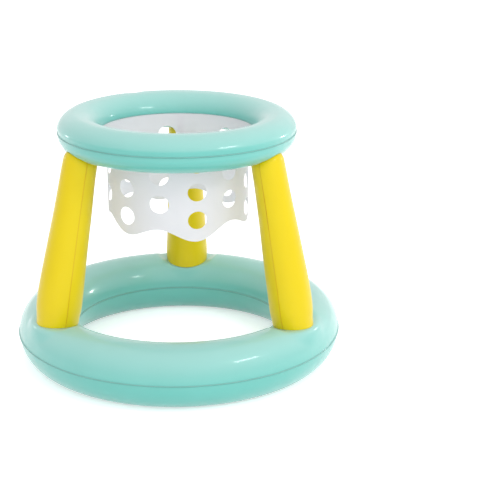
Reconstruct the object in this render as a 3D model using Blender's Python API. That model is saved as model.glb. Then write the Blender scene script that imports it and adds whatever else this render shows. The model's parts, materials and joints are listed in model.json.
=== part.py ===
# Floating basketball hoop: a wide inflated base ring, three inflated legs and a smaller inflated rim
# ring, all of welded vinyl sheet, with a punched vinyl net hanging inside the rim.
# Metres, +Z up. The origin is on the floor on the rings' common axis. The rear leg is towards +Y.

import math
from collections import namedtuple

import bmesh
import bpy
from mathutils import Matrix, Vector

# Vinyl sheet, and the space between two sheets that are welded together
SHEET = 0.0004
WELD_GAP = 0.0003
# Width of the weld that stands out along a ring's seams
SEAM_FLANGE = 0.002
# Length by which a cutter passes through the sheet it cuts
OVERRUN = 0.006

# Base ring: its tube, and the strip of its underside that is pressed flat on the floor
BASE_RADIUS = 0.2755
BASE_HALF_WIDTH = 0.0575
BASE_HALF_HEIGHT = 0.0625
BASE_FLAT_WIDTH = 0.022
BASE_QUARTER_STEPS = 6

# Rim ring
RIM_TOP = 0.515
RIM_RADIUS = 0.198
RIM_HALF_WIDTH = 0.0405
RIM_HALF_HEIGHT = 0.038
RIM_QUARTER_STEPS = 4

# A ring's columns of facets: over each half of a leg's weld, and from there to halfway to the next leg
RING_WELD_STEPS = 2
RING_OPEN_STEPS = 5

# Legs: each end is welded on in a circle, over which the ring's skin is drawn flat. The two seats lie
# this deep in the crowns of the base ring and the rim, and the upper one this far out on the rim
LEG_AZIMUTHS = {"rear": 90, "left": 210, "right": 330}
FOOT_SEAT_DEPTH = 0.0119
HEAD_SEAT_DEPTH = 0.0075
HEAD_SEAT_OUTSET_SHARE = 0.27
# The seats lean by this share of the legs' own lean
SEAT_LEAN_SHARE = 0.6
# The pull of a weld on the skin round it, in weld radii: full as far as the first, none from the second.
# Where the skin stands higher than the seat it is pressed down, and where it falls away it is drawn up
SEAT_PRESSED_SHARES = (1.3, 2.2)
SEAT_DRAWN_SHARES = (1.15, 1.75)
LEG_FOOT_RADIUS = 0.0436
LEG_HEAD_RADIUS = 0.0325
LEG_TAPER_START_SHARE = 0.15
LEG_SIDES = 18
LEG_SHOULDER_STEPS = 2
# Rounded ends of a leg, and the hem that is turned in under them
FOOT_SHOULDER = 0.013
HEAD_SHOULDER = 0.010
FOOT_WELD_RADIUS = 0.0402
HEAD_WELD_RADIUS = 0.028
LEG_HEM = 0.006
# The outer panel's edges pass under the inner panel's
LEG_LAP = 0.005
LEG_LAP_STEP = 0.0012
# Air passes from the rim into each leg through a hole
VENT_RADIUS = 0.005

# Net: a cylinder that widens at its top, where its edge is caught in the rim's inner seam
NET_SHEET = 0.0004
NET_RADIUS = 0.143
NET_TAPER_DEPTH = 0.040
NET_TURN = 0.001
NET_SEAM_AZIMUTH = 93.9
NET_LAP = 0.0125
NET_COLUMNS = 12
NET_COLUMN_STEPS = 4
# Punched holes, in columns that hold more and fewer of them in turn
NET_LONG_HOLES = 3
NET_SHORT_HOLES = 2
NET_HOLE_HALF_WIDTH = 0.0192
NET_HOLE_HALF_HEIGHT = 0.0178
NET_HOLE_PITCH = 0.056
NET_HOLE_DROP = 0.038
NET_HIGH_SHIFT = 0.0045
NET_HOLE_SIDES = 16
# Wavy hem, which hangs a little higher at the two sides of the hoop than at its front and rear
NET_HEM_DROP = 0.182
NET_HEM_WAVE = 0.012
NET_SIDE_RISE = 0.014
NET_FRONT_AZIMUTH = -86.1

# Valves: one in each ring, on the rear of its outer side
VALVE_SITES = {"base": 60, "rim": 120}
VALVE_ELEVATION = 36
VALVE_SIDES = 16
VALVE_FLANGE_RADIUS = 0.018
VALVE_FLANGE_THICK = 0.0008
VALVE_WELL_RADIUS = 0.0118
VALVE_WELL_DEPTH = 0.0075
VALVE_WELL_ROUND = 0.0015
VALVE_MEMBRANE = 0.0005
VALVE_CLEARANCE = 0.0003
# Stem: a short tube with a collar at its mouth and the fixed half of the cap's strap
STEM_RADIUS = 0.0046
STEM_BORE = 0.0031
STEM_LENGTH = 0.0142
STEM_TOP = 0.0002
STEM_COLLAR_RADIUS = 0.0052
STEM_COLLAR_HEIGHT = 0.0012
STEM_SLEEVE = 0.002
# Cap: a tapered plug under a disc, with a strap on one side and a finger tab on the other
CAP_RADIUS = 0.0058
CAP_THICK = 0.0015
CAP_PLUG_TOP_RADIUS = 0.0028
CAP_PLUG_TIP_RADIUS = 0.0021
CAP_PLUG_LENGTH = 0.0038
CAP_TAB = 0.002
STRAP_REACH = 0.0085
STRAP_WIDTH = 0.004
STRAP_THICK = 0.0008
# One-way flap under the stem
FLAP_RADIUS = 0.0039
FLAP_THICK = 0.0005

# Sizes that follow from the ones above
BASE_SEAM_Z = BASE_HALF_HEIGHT * math.sqrt(1 - (BASE_FLAT_WIDTH / (2 * BASE_HALF_WIDTH)) ** 2)
RIM_SEAM_Z = RIM_TOP - RIM_HALF_HEIGHT
NET_HALF_PITCH = NET_HOLE_PITCH / 2
NET_LOW_HOLE_Z = RIM_SEAM_Z - NET_HOLE_DROP - (NET_LONG_HOLES - 1) * NET_HOLE_PITCH
NET_STEP = math.tau / (NET_COLUMNS * NET_COLUMN_STEPS)
NET_LAP_INSET = NET_SHEET + WELD_GAP + NET_RADIUS * (1 - math.cos(NET_STEP / 2))
NET_POCKET = NET_LAP_INSET + NET_SHEET + 2 * WELD_GAP
LEG_SEAM_INSET = SHEET + WELD_GAP
LEG_HEM_GAP = SHEET + 2 * WELD_GAP
CAP_SEAT = STEM_TOP + VALVE_CLEARANCE
STRAP_HINGE_W = STEM_TOP + VALVE_CLEARANCE / 2
VALVE_HOLE_RADIUS = VALVE_WELL_RADIUS + VALVE_MEMBRANE + 2 * VALVE_CLEARANCE

# Finishes: colour as red, green and blue, roughness, metallic
TEAL_VINYL = ((0.24, 0.61, 0.55), 0.32, 0.0)
YELLOW_VINYL = ((0.78, 0.63, 0.03), 0.34, 0.0)
FROSTED_VINYL = ((0.68, 0.68, 0.69), 0.5, 0.0)
CLEAR_VINYL = ((0.75, 0.80, 0.81), 0.3, 0.0)

SMOOTH_ANGLE = math.radians(35)

Ring = namedtuple("Ring", "radius half_width half_height seam_z steps weld_radius inner_gap rests")
Leg = namedtuple("Leg", "azimuth foot head along face across length")
End = namedtuple("End", "centre normal weld_radius shoulder")
Site = namedtuple("Site", "ring azimuth frame")

BASE = Ring(
    BASE_RADIUS, BASE_HALF_WIDTH, BASE_HALF_HEIGHT, BASE_SEAM_Z, BASE_QUARTER_STEPS, FOOT_WELD_RADIUS,
    WELD_GAP, True,
)
RIM = Ring(
    RIM_RADIUS, RIM_HALF_WIDTH, RIM_HALF_HEIGHT, RIM_SEAM_Z, RIM_QUARTER_STEPS, HEAD_WELD_RADIUS,
    NET_POCKET, False,
)


def clear_scene():
    for obj in list(bpy.data.objects):
        bpy.data.objects.remove(obj, do_unlink=True)


def vinyl(name, finish):
    colour, roughness, metallic = finish
    material = bpy.data.materials.new(name)
    material.use_nodes = True
    shader = material.node_tree.nodes["Principled BSDF"]
    shader.inputs["Base Color"].default_value = (*colour, 1.0)
    shader.inputs["Roughness"].default_value = roughness
    shader.inputs["Metallic"].default_value = metallic
    return material


def add_object(name, points, faces, finish=None):
    """A mesh object with its own material, shaded smooth except along its edges."""
    mesh = bpy.data.meshes.new(name)
    mesh.from_pydata([tuple(point) for point in points], [], faces)
    mesh.shade_smooth()
    mesh.set_sharp_from_angle(angle=SMOOTH_ANGLE)
    obj = bpy.data.objects.new(name, mesh)
    bpy.context.collection.objects.link(obj)
    if finish:
        mesh.materials.append(vinyl(name, finish))
    return obj


def face_outwards(obj):
    """Turn the faces of a closed mesh so that they all point out of it."""
    shape = bmesh.new()
    shape.from_mesh(obj.data)
    bmesh.ops.recalc_face_normals(shape, faces=shape.faces)
    shape.to_mesh(obj.data)
    shape.free()
    return obj


def thicken(obj, thickness, offset):
    """Give a sheet its thickness; offset -1 puts it behind the faces and 0 on both sides."""
    solidify = obj.modifiers.new("thickness", "SOLIDIFY")
    solidify.thickness = thickness
    solidify.offset = offset
    solidify.use_even_offset = True
    solidify.use_quality_normals = True
    return obj


def combine(obj, tool, operation):
    """Cut a tool out of an object, or join it on; the tool itself isn't part of the hoop."""
    tool.hide_render = True
    tool.display_type = "WIRE"
    boolean = obj.modifiers.new(tool.name, "BOOLEAN")
    boolean.operation = operation
    boolean.solver = "EXACT"
    boolean.object = tool


def grid_faces(rows, columns, closed):
    """Four-sided faces between the rows of a grid of points listed row after row."""
    faces = []
    for row in range(rows - 1):
        for column in range(columns if closed else columns - 1):
            right = (column + 1) % columns
            below = row * columns
            above = below + columns
            faces.append((below + column, below + right, above + right, above + column))
    return faces


def loft(name, sections, finish=None, paired=False):
    """A ring-shaped solid through closed outlines with equally many points.

    A paired outline runs along one side of a sheet and back along the other. Its quads are cut along
    their shorter diagonals, and each as the one across the sheet, so that the two sides never meet."""
    count = len(sections[0])
    points = [point for section in sections for point in section]
    faces = []
    for step in range(len(sections)):
        near = step * count
        far = (step + 1) % len(sections) * count
        for index in range(count):
            after = (index + 1) % count
            quad = (near + index, near + after, far + after, far + index)
            if not paired:
                faces.append(quad)
                continue
            outer = index if index <= count // 2 else count - index
            past = (outer + 1) % count
            rising = (points[near + outer] - points[far + past]).length
            falling = (points[near + past] - points[far + outer]).length
            if (rising <= falling) == (index == outer):
                faces += [(quad[0], quad[1], quad[2]), (quad[0], quad[2], quad[3])]
            else:
                faces += [(quad[0], quad[1], quad[3]), (quad[1], quad[2], quad[3])]
    return face_outwards(add_object(name, points, faces, finish))


def turn(name, profile, sides, finish=None):
    """A closed outline of (radius, height) points turned once round the Z axis."""
    sections = []
    for step in range(sides):
        angle = math.tau * step / sides
        out = Vector((math.cos(angle), math.sin(angle), 0))
        sections.append([out * radius + Vector((0, 0, height)) for radius, height in profile])
    return loft(name, sections, finish)


def turn_solid(name, profile, sides, finish=None):
    """An open outline of (radius, height) points, turned and closed by flat ends."""
    points = []
    for radius, height in profile:
        for step in range(sides):
            angle = math.tau * step / sides
            points.append((radius * math.cos(angle), radius * math.sin(angle), height))
    faces = grid_faces(len(profile), sides, True)
    faces.append(tuple(range(sides)))
    faces.append(tuple(len(points) - sides + step for step in range(sides)))
    return face_outwards(add_object(name, points, faces, finish))


def block(name, low, high):
    """A box between two corners, as a tool to cut or join with."""
    points = [(x, y, z) for x in (low[0], high[0]) for y in (low[1], high[1]) for z in (low[2], high[2])]
    faces = [(0, 1, 3, 2), (4, 6, 7, 5), (0, 4, 5, 1), (2, 3, 7, 6), (0, 2, 6, 4), (1, 5, 7, 3)]
    return face_outwards(add_object(name, points, faces))


# Rings


def skin_arc(ring, side, inset, outer_rise, inner_rise):
    """Points over one half of a ring's tube, as (distance from the axis, height off the seam)."""
    half_width = ring.half_width - inset
    half_height = ring.half_height - inset
    flat = ring.rests and side < 0
    crown = math.asin((ring.seam_z - inset) / half_height) if flat else math.pi / 2
    points = []
    for sign, rise in ((1, outer_rise), (-1, inner_rise)):
        first = math.asin(rise / half_height)
        steps = range(ring.steps + 1) if sign > 0 else range(ring.steps, -1, -1)
        for step in steps:
            if sign < 0 and step == ring.steps and not flat:
                continue
            angle = first + (crown - first) * step / ring.steps
            points.append((ring.radius + sign * half_width * math.cos(angle), half_height * math.sin(angle)))
    return points


def ring_angles(ring):
    """Azimuths of a ring's columns of facets: close together where a leg stands on it, wider between."""
    reach = ring.weld_radius / ring.radius
    fade = SEAT_PRESSED_SHARES[1] * reach
    half = math.pi / len(LEG_AZIMUTHS)
    offsets = [reach * step / RING_WELD_STEPS for step in range(1, RING_WELD_STEPS + 1)]
    offsets += [fade + (half - fade) * step / RING_OPEN_STEPS for step in range(RING_OPEN_STEPS + 1)]
    angles = []
    for azimuth in LEG_AZIMUTHS.values():
        middle = math.radians(azimuth)
        angles += [middle - offset for offset in reversed(offsets[:-1])] + [middle]
        angles += [middle + offset for offset in offsets]
    return angles


def seat_shift(point, ring, legs, lower):
    """How far a ring's skin is moved up or down where the end of a leg is welded on."""
    shift = 0
    across = math.hypot(point.x, point.y) - ring.radius
    up = abs(point.z - ring.seam_z)
    arc = ring.half_width * math.atan2(abs(across) / ring.half_width, up / ring.half_height)
    for leg in legs:
        end = leg_ends(leg)[1 if lower else 0]
        turn_angle = math.atan2(point.y, point.x) - math.radians(leg.azimuth)
        around = ring.radius * abs((turn_angle + math.pi) % math.tau - math.pi)
        apart = math.hypot(around, arc) / end.weld_radius
        gap = (end.centre - point).dot(end.normal) / end.normal.z
        outside = gap > 0 if lower else gap < 0
        flat, fade = SEAT_PRESSED_SHARES if outside else SEAT_DRAWN_SHARES
        share = min(max((fade - apart) / (fade - flat), 0), 1)
        shift += gap * share * share * (3 - 2 * share)
    return Vector((0, 0, shift))


def ring_skin(name, ring, side, legs=()):
    """One of the two vinyl annuli of a ring, blown up to half a tube between its welded edges."""
    outer_gap = WELD_GAP / 2
    inner_gap = ring.inner_gap / 2
    outer_tip = ring.radius + ring.half_width + SEAM_FLANGE
    inner_tip = ring.radius - ring.half_width - SEAM_FLANGE
    first = [(outer_tip, outer_gap), (outer_tip, outer_gap + SHEET)]
    over = skin_arc(ring, side, 0, outer_gap + SHEET, inner_gap + SHEET)
    last = [(inner_tip, inner_gap + SHEET), (inner_tip, inner_gap)]
    under = skin_arc(ring, side, SHEET, outer_gap, inner_gap)
    outline = first + over + last + under[::-1]
    sections = []
    for angle in ring_angles(ring):
        out = Vector((math.cos(angle), math.sin(angle), 0))
        section = [out * radius + Vector((0, 0, ring.seam_z + side * rise)) for radius, rise in outline]
        for index in range(len(over)):
            shift = seat_shift(section[len(first) + index], ring, legs, side < 0)
            section[len(first) + index] += shift
            section[-1 - index] += shift
        sections.append(section)
    return loft(name, sections, TEAL_VINYL, paired=True)


# Legs


def leg_at(azimuth):
    """A leg's axis, from the middle of its seat on the base ring to that of its seat under the rim."""
    angle = math.radians(azimuth)
    out = Vector((math.cos(angle), math.sin(angle), 0))
    across = Vector((-math.sin(angle), math.cos(angle), 0))
    foot_z = BASE_SEAM_Z + BASE_HALF_HEIGHT - FOOT_SEAT_DEPTH
    head_z = RIM_SEAM_Z - RIM_HALF_HEIGHT + HEAD_SEAT_DEPTH
    foot = out * BASE_RADIUS + Vector((0, 0, foot_z))
    head = out * (RIM_RADIUS + HEAD_SEAT_OUTSET_SHARE * RIM_HALF_WIDTH) + Vector((0, 0, head_z))
    along = (head - foot).normalized()
    return Leg(azimuth, foot, head, along, across.cross(along), across, (head - foot).length)


def leg_ends(leg):
    """The two seats of a leg, each with the direction from its ring into the leg."""
    normal = Vector((0, 0, 1)).lerp(leg.along, SEAT_LEAN_SHARE).normalized()
    foot = End(leg.foot, normal, FOOT_WELD_RADIUS, FOOT_SHOULDER)
    head = End(leg.head, -normal, HEAD_WELD_RADIUS, HEAD_SHOULDER)
    return foot, head


def leg_point(leg, radius, angle, distance):
    wall = leg.face * math.cos(angle) + leg.across * math.sin(angle)
    return leg.foot + leg.along * distance + wall * radius


def landing(leg, end, radius, angle, clearance):
    """Distance along the leg at which its wall lies this clear of a seat."""
    start = leg_point(leg, radius, angle, 0)
    return (clearance - (start - end.centre).dot(end.normal)) / leg.along.dot(end.normal)


def leg_radius(leg, distance):
    share = (distance / leg.length - LEG_TAPER_START_SHARE) / (1 - LEG_TAPER_START_SHARE)
    share = min(max(share, 0), 1)
    return LEG_FOOT_RADIUS + (LEG_HEAD_RADIUS - LEG_FOOT_RADIUS) * share


def end_rows(leg, end, angle, inset):
    """A leg's wall at one end, from the turned-in hem out and round to the straight part."""
    rows = []
    fold = end.weld_radius - inset
    for radius in (end.weld_radius - LEG_HEM, fold):
        rows.append((radius, landing(leg, end, radius, angle, LEG_HEM_GAP + inset)))
    edge = rows[-1][1]
    way = 1 if leg.along.dot(end.normal) > 0 else -1
    for step in range(1, LEG_SHOULDER_STEPS + 1):
        sweep = math.pi / 2 * step / LEG_SHOULDER_STEPS
        distance = edge + way * (end.shoulder - inset) * (1 - math.cos(sweep))
        full = leg_radius(leg, distance) - inset
        rows.append((fold + (full - fold) * math.sin(sweep), distance))
    return rows


def leg_panel(name, leg, columns):
    """One panel of a leg, as columns of (angle, inset) from one lengthwise weld to the other."""
    foot, head = leg_ends(leg)
    grid = []
    for angle, inset in columns:
        lower = end_rows(leg, foot, angle, inset)
        upper = end_rows(leg, head, angle, inset)
        start = lower[-1][1]
        stop = upper[-1][1]
        between = []
        for share in (LEG_TAPER_START_SHARE, (1 + LEG_TAPER_START_SHARE) / 2):
            distance = start + (stop - start) * share
            between.append((leg_radius(leg, distance) - inset, distance))
        wall = lower + between + upper[::-1]
        grid.append([leg_point(leg, radius, angle, distance) for radius, distance in wall])
    rows = len(grid[0])
    points = [column[row] for row in range(rows) for column in grid]
    return thicken(add_object(name, points, grid_faces(rows, len(grid), False), YELLOW_VINYL), SHEET, -1)


def leg_panels(side, leg):
    """The inner panel, and the outer one with both its edges set in to pass under it."""
    lap = LEG_LAP / LEG_FOOT_RADIUS
    gap = WELD_GAP / LEG_FOOT_RADIUS
    step = LEG_LAP_STEP / LEG_FOOT_RADIUS
    turn_step = math.tau / LEG_SIDES
    half = LEG_SIDES // 2
    middle = [turn_step * index for index in range(1, half)]
    seam = math.pi / 2
    inner = [0, lap + gap] + middle + [math.pi - lap - gap, math.pi]
    leg_panel(side + "_leg_inner_panel", leg, [(angle + seam, 0) for angle in inner])
    outer = [(-lap, LEG_SEAM_INSET), (gap, LEG_SEAM_INSET), (gap + step, 0)]
    outer += [(angle, 0) for angle in middle]
    outer += [(math.pi - angle, inset) for angle, inset in reversed(outer[:3])]
    leg_panel(side + "_leg_outer_panel", leg, [(angle - seam, inset) for angle, inset in outer])


def leg_disc(name, leg, end, vent):
    """The flat disc that closes a leg's end over its seat, with or without a vent hole."""
    points = []
    for radius in (vent, end.weld_radius) if vent else (end.weld_radius,):
        for side in range(LEG_SIDES):
            angle = math.tau * side / LEG_SIDES + math.pi / 2
            points.append(leg_point(leg, radius, angle, landing(leg, end, radius, angle, WELD_GAP)))
    faces = grid_faces(2, LEG_SIDES, True) if vent else [tuple(reversed(range(LEG_SIDES)))]
    if leg.along.dot(end.normal) < 0:
        faces = [face[::-1] for face in faces]
    return thicken(add_object(name, points, faces, YELLOW_VINYL), SHEET, -1)


def make_leg(side, leg, rim_skin):
    foot, head = leg_ends(leg)
    leg_panels(side, leg)
    leg_disc(side + "_leg_foot_disc", leg, foot, 0)
    leg_disc(side + "_leg_head_disc", leg, head, VENT_RADIUS)
    outline = [(VENT_RADIUS, -OVERRUN), (VENT_RADIUS, OVERRUN)]
    cutter = turn_solid(side + "_vent_cutter", outline, LEG_SIDES)
    cutter.location = leg.head
    cutter.rotation_mode = "QUATERNION"
    cutter.rotation_quaternion = leg.along.to_track_quat("Z", "Y")
    combine(rim_skin, cutter, "DIFFERENCE")


# Net


def net_levels():
    """Heights of the net's rows, from the hem's own row to the edge caught in the rim's seam."""
    levels = [None]
    for step in range(NET_LONG_HOLES):
        levels.append(NET_LOW_HOLE_Z + step * NET_HOLE_PITCH + NET_HIGH_SHIFT)
        levels.append(NET_LOW_HOLE_Z + step * NET_HOLE_PITCH + NET_HALF_PITCH)
    return levels + ["turn", "edge"]


def hem_height(angle):
    low = math.radians(NET_SEAM_AZIMUTH) + math.pi / NET_COLUMNS
    side = math.sin(angle - math.radians(NET_FRONT_AZIMUTH))
    wave = math.cos(NET_COLUMNS / 2 * (angle - low))
    return RIM_SEAM_Z - NET_HEM_DROP - NET_HEM_WAVE * wave + NET_SIDE_RISE * side * side


def net_point(angle, level, inset):
    """A point of the net; inset is how far it lies on the sheet's own inner side, which the lip turns up."""
    lip = RIM_SEAM_Z - NET_LAP_INSET / 2
    tip = RIM_RADIUS - RIM_HALF_WIDTH - SEAM_FLANGE
    top_radius = tip - NET_TURN
    if level == "edge":
        radius = RIM_RADIUS - RIM_HALF_WIDTH - WELD_GAP
        height = lip + inset
    elif level == "turn":
        radius = top_radius - inset
        height = lip + inset
    else:
        height = hem_height(angle) if level is None else level
        rise = max(0, (height - lip) / NET_TAPER_DEPTH + 1)
        radius = NET_RADIUS + (top_radius - NET_RADIUS) * rise * rise - inset
    return (radius * math.cos(angle), radius * math.sin(angle), height)


def stitch(outer, inner):
    """Triangles between two loops of (bearing, vertex) that turn the same way."""
    faces = []
    out = 0
    into = 0
    while out < len(outer) or into < len(inner):
        outer_turns, outer_next = divmod(out + 1, len(outer))
        inner_turns, inner_next = divmod(into + 1, len(inner))
        outer_bearing = outer[outer_next][0] + math.tau * outer_turns
        inner_bearing = inner[inner_next][0] + math.tau * inner_turns
        outer_here = outer[out % len(outer)][1]
        inner_here = inner[into % len(inner)][1]
        if into >= len(inner) or (out < len(outer) and outer_bearing <= inner_bearing):
            faces.append((outer_here, outer[outer_next][1], inner_here))
            out += 1
        else:
            faces.append((inner[inner_next][1], inner_here, outer_here))
            into += 1
    return faces


def net_sheet():
    """The net, one sheet whose first end passes under its last end at the rear weld."""
    levels = net_levels()
    start = math.radians(NET_SEAM_AZIMUTH)
    points = []
    faces = []
    known = {}

    def angle_at(step):
        return start - NET_LAP / NET_RADIUS if step < 0 else start + step * NET_STEP

    def vertex(step, row):
        if (step, row) not in known:
            known[step, row] = len(points)
            inset = NET_LAP_INSET if step <= 0 else 0
            points.append(net_point(angle_at(step), levels[row], inset))
        return known[step, row]

    def band(first, last, low, high):
        for step in range(first, last):
            for row in range(low, high):
                faces.append((vertex(step, row), vertex(step + 1, row), vertex(step + 1, row + 1),
                              vertex(step, row + 1)))

    def cell(first, low, height):
        """A punched hole with the sheet round it, two rows high and one column wide."""
        last = first + NET_COLUMN_STEPS
        centre = angle_at(first + NET_COLUMN_STEPS // 2)

        def bearing(angle, level):
            return math.atan2(level - height, (angle - centre) * NET_RADIUS) % math.tau

        rim = [(step, low) for step in range(first, last + 1)] + [(last, low + 1)]
        rim += [(step, low + 2) for step in range(last, first - 1, -1)] + [(first, low + 1)]
        outer = []
        for step, row in rim:
            level = hem_height(angle_at(step)) if levels[row] is None else levels[row]
            outer.append((bearing(angle_at(step), level), vertex(step, row)))
        inner = []
        for side in range(NET_HOLE_SIDES):
            sweep = math.tau * side / NET_HOLE_SIDES
            angle = centre + NET_HOLE_HALF_WIDTH * math.cos(sweep) / NET_RADIUS
            level = height + NET_HOLE_HALF_HEIGHT * math.sin(sweep)
            inner.append((bearing(angle, level), len(points)))
            points.append(net_point(angle, level, 0))
        faces.extend(stitch(sorted(outer), sorted(inner)))

    top = len(levels) - 1
    band(-1, 0, 0, top)
    for column in range(NET_COLUMNS):
        first = column * NET_COLUMN_STEPS
        last = first + NET_COLUMN_STEPS
        if column % 2 == 0:
            for hole in range(NET_LONG_HOLES):
                cell(first, 2 * hole, NET_LOW_HOLE_Z + hole * NET_HOLE_PITCH)
            band(first, last, 2 * NET_LONG_HOLES, top)
        else:
            band(first, last, 0, 1)
            for hole in range(NET_SHORT_HOLES):
                height = NET_LOW_HOLE_Z + hole * NET_HOLE_PITCH + NET_HALF_PITCH + NET_HIGH_SHIFT
                cell(first, 2 * hole + 1, height)
            band(first, last, 2 * NET_SHORT_HOLES + 1, top)
    return thicken(add_object("net_sheet", points, faces, FROSTED_VINYL), NET_SHEET, 0)


# Valves


def tube_point(ring, azimuth, sweep, rise):
    """A point over a ring's tube: angle round the ring, angle up the tube's side, height off it."""
    across = ring.half_width * math.cos(sweep)
    up = ring.half_height * math.sin(sweep)
    normal = Vector((math.cos(sweep) / ring.half_width, math.sin(sweep) / ring.half_height)).normalized()
    radius = ring.radius + across + normal.x * rise
    height = ring.seam_z + up + normal.y * rise
    return Vector((radius * math.cos(azimuth), radius * math.sin(azimuth), height))


def valve_site(ring, azimuth):
    """A valve's place: X runs round the ring, Y up the tube's side and Z out of the skin."""
    angle = math.radians(azimuth)
    sweep = math.radians(VALVE_ELEVATION)
    centre = tube_point(ring, angle, sweep, 0)
    out = (tube_point(ring, angle, sweep, ring.half_width) - centre).normalized()
    around = Vector((-math.sin(angle), math.cos(angle), 0))
    frame = Matrix((around, out.cross(around), out)).transposed().to_4x4()
    return Site(ring, angle, Matrix.Translation(centre) @ frame)


def on_skin(site, x, y, rise):
    """A point at x and y from a valve's middle, bent to follow the ring's skin."""
    sweep = math.radians(VALVE_ELEVATION)
    reach = site.ring.radius + site.ring.half_width * math.cos(sweep)
    climb = math.hypot(site.ring.half_width * math.sin(sweep), site.ring.half_height * math.cos(sweep))
    return tube_point(site.ring, site.azimuth + x / reach, sweep + y / climb, rise)


def skin_piece(name, site, profile, thickness, finish):
    """A round sheet, as (radius, rise, follow) points from its rim inwards, over a valve's hole.

    Where follow is 1 the sheet bends with the ring's skin, and where it is 0 it is truly round."""
    points = []
    for radius, rise, follow in profile:
        for side in range(VALVE_SIDES):
            angle = math.tau * side / VALVE_SIDES
            x = radius * math.cos(angle)
            y = radius * math.sin(angle)
            straight = site.frame @ Vector((x, y, rise))
            points.append(straight.lerp(on_skin(site, x, y, rise), follow))
    faces = grid_faces(len(profile), VALVE_SIDES, True)
    return thicken(add_object(name, points, faces, finish), thickness, -1)


def place(obj, site, offset):
    obj.matrix_world = site.frame @ Matrix.Translation(offset)


def make_valve(name, ring, azimuth, skin):
    site = valve_site(ring, azimuth)
    flange_top = WELD_GAP + VALVE_FLANGE_THICK
    well_bottom = -VALVE_WELL_DEPTH

    flange = [(VALVE_FLANGE_RADIUS, flange_top, 1), (VALVE_HOLE_RADIUS, flange_top, 1)]
    skin_piece(name + "_valve_flange", site, flange, VALVE_FLANGE_THICK, CLEAR_VINYL)

    # The membrane hangs from the flange as a round well and closes on the stem as a short sleeve
    sleeve = STEM_RADIUS + VALVE_CLEARANCE + VALVE_MEMBRANE
    well = [
        (VALVE_WELL_RADIUS, flange_top, 1),
        (VALVE_WELL_RADIUS, well_bottom + VALVE_WELL_ROUND, 0),
        (VALVE_WELL_RADIUS - VALVE_WELL_ROUND, well_bottom, 0),
        (sleeve, well_bottom, 0),
        (sleeve, well_bottom + STEM_SLEEVE, 0),
    ]
    skin_piece(name + "_valve_membrane", site, well, VALVE_MEMBRANE, CLEAR_VINYL)

    hole = turn_solid(
        name + "_valve_hole", [(VALVE_HOLE_RADIUS, -OVERRUN), (VALVE_HOLE_RADIUS, OVERRUN)], VALVE_SIDES,
    )
    hole.matrix_world = site.frame
    combine(skin, hole, "DIFFERENCE")

    stem = turn(
        name + "_valve_stem",
        [
            (STEM_BORE, STEM_TOP - STEM_LENGTH),
            (STEM_RADIUS, STEM_TOP - STEM_LENGTH),
            (STEM_RADIUS, STEM_TOP - STEM_COLLAR_HEIGHT),
            (STEM_COLLAR_RADIUS, STEM_TOP - STEM_COLLAR_HEIGHT),
            (STEM_COLLAR_RADIUS, STEM_TOP),
            (STEM_BORE, STEM_TOP),
        ],
        VALVE_SIDES, CLEAR_VINYL,
    )
    stem.matrix_world = site.frame
    stub = block(
        name + "_strap_stub",
        ((STEM_BORE + STEM_RADIUS) / 2, -STRAP_WIDTH / 2, STEM_TOP - STRAP_THICK),
        (STRAP_REACH - VALVE_CLEARANCE, STRAP_WIDTH / 2, STEM_TOP - VALVE_CLEARANCE / 2),
    )
    stub.matrix_world = site.frame
    combine(stem, stub, "UNION")

    # The cap turns about the bend of its strap, so its origin lies there
    hinge = Vector((STRAP_REACH, 0, STRAP_HINGE_W))
    cap = turn_solid(
        name + "_valve_cap",
        [
            (CAP_PLUG_TIP_RADIUS, CAP_SEAT - CAP_PLUG_LENGTH),
            (CAP_PLUG_TOP_RADIUS, CAP_SEAT),
            (CAP_RADIUS, CAP_SEAT),
            (CAP_RADIUS, CAP_SEAT + CAP_THICK),
        ],
        VALVE_SIDES, CLEAR_VINYL,
    )
    cap.data.transform(Matrix.Translation(-hinge))
    place(cap, site, hinge)
    strap = block(
        name + "_strap_tab",
        (-CAP_RADIUS - CAP_TAB, -STRAP_WIDTH / 2, CAP_SEAT + VALVE_CLEARANCE / 2),
        (STRAP_REACH - VALVE_CLEARANCE, STRAP_WIDTH / 2, CAP_SEAT + STRAP_THICK),
    )
    strap.matrix_world = site.frame
    combine(cap, strap, "UNION")

    # The flap hangs by one edge under the stem's inner end, and its origin lies on that edge
    flap_top = STEM_TOP - STEM_LENGTH - VALVE_CLEARANCE
    edge = Vector((FLAP_RADIUS + VALVE_CLEARANCE, 0, flap_top + VALVE_CLEARANCE / 2))
    flap = turn_solid(
        name + "_valve_flap", [(FLAP_RADIUS, flap_top - FLAP_THICK), (FLAP_RADIUS, flap_top)], VALVE_SIDES,
        CLEAR_VINYL,
    )
    flap.data.transform(Matrix.Translation(-edge))
    place(flap, site, edge)


def build():
    clear_scene()
    legs = {side: leg_at(azimuth) for side, azimuth in LEG_AZIMUTHS.items()}
    base_upper = ring_skin("base_ring_upper_skin", BASE, 1, legs.values())
    ring_skin("base_ring_lower_skin", BASE, -1)
    rim_upper = ring_skin("rim_ring_upper_skin", RIM, 1)
    rim_lower = ring_skin("rim_ring_lower_skin", RIM, -1, legs.values())
    for side, leg in legs.items():
        make_leg(side, leg, rim_lower)
    net_sheet()
    make_valve("base", BASE, VALVE_SITES["base"], base_upper)
    make_valve("rim", RIM, VALVE_SITES["rim"], rim_upper)


build()
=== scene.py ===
import json
import math

import bmesh
import bpy
import numpy as np
from mathutils import Matrix, Vector

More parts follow.
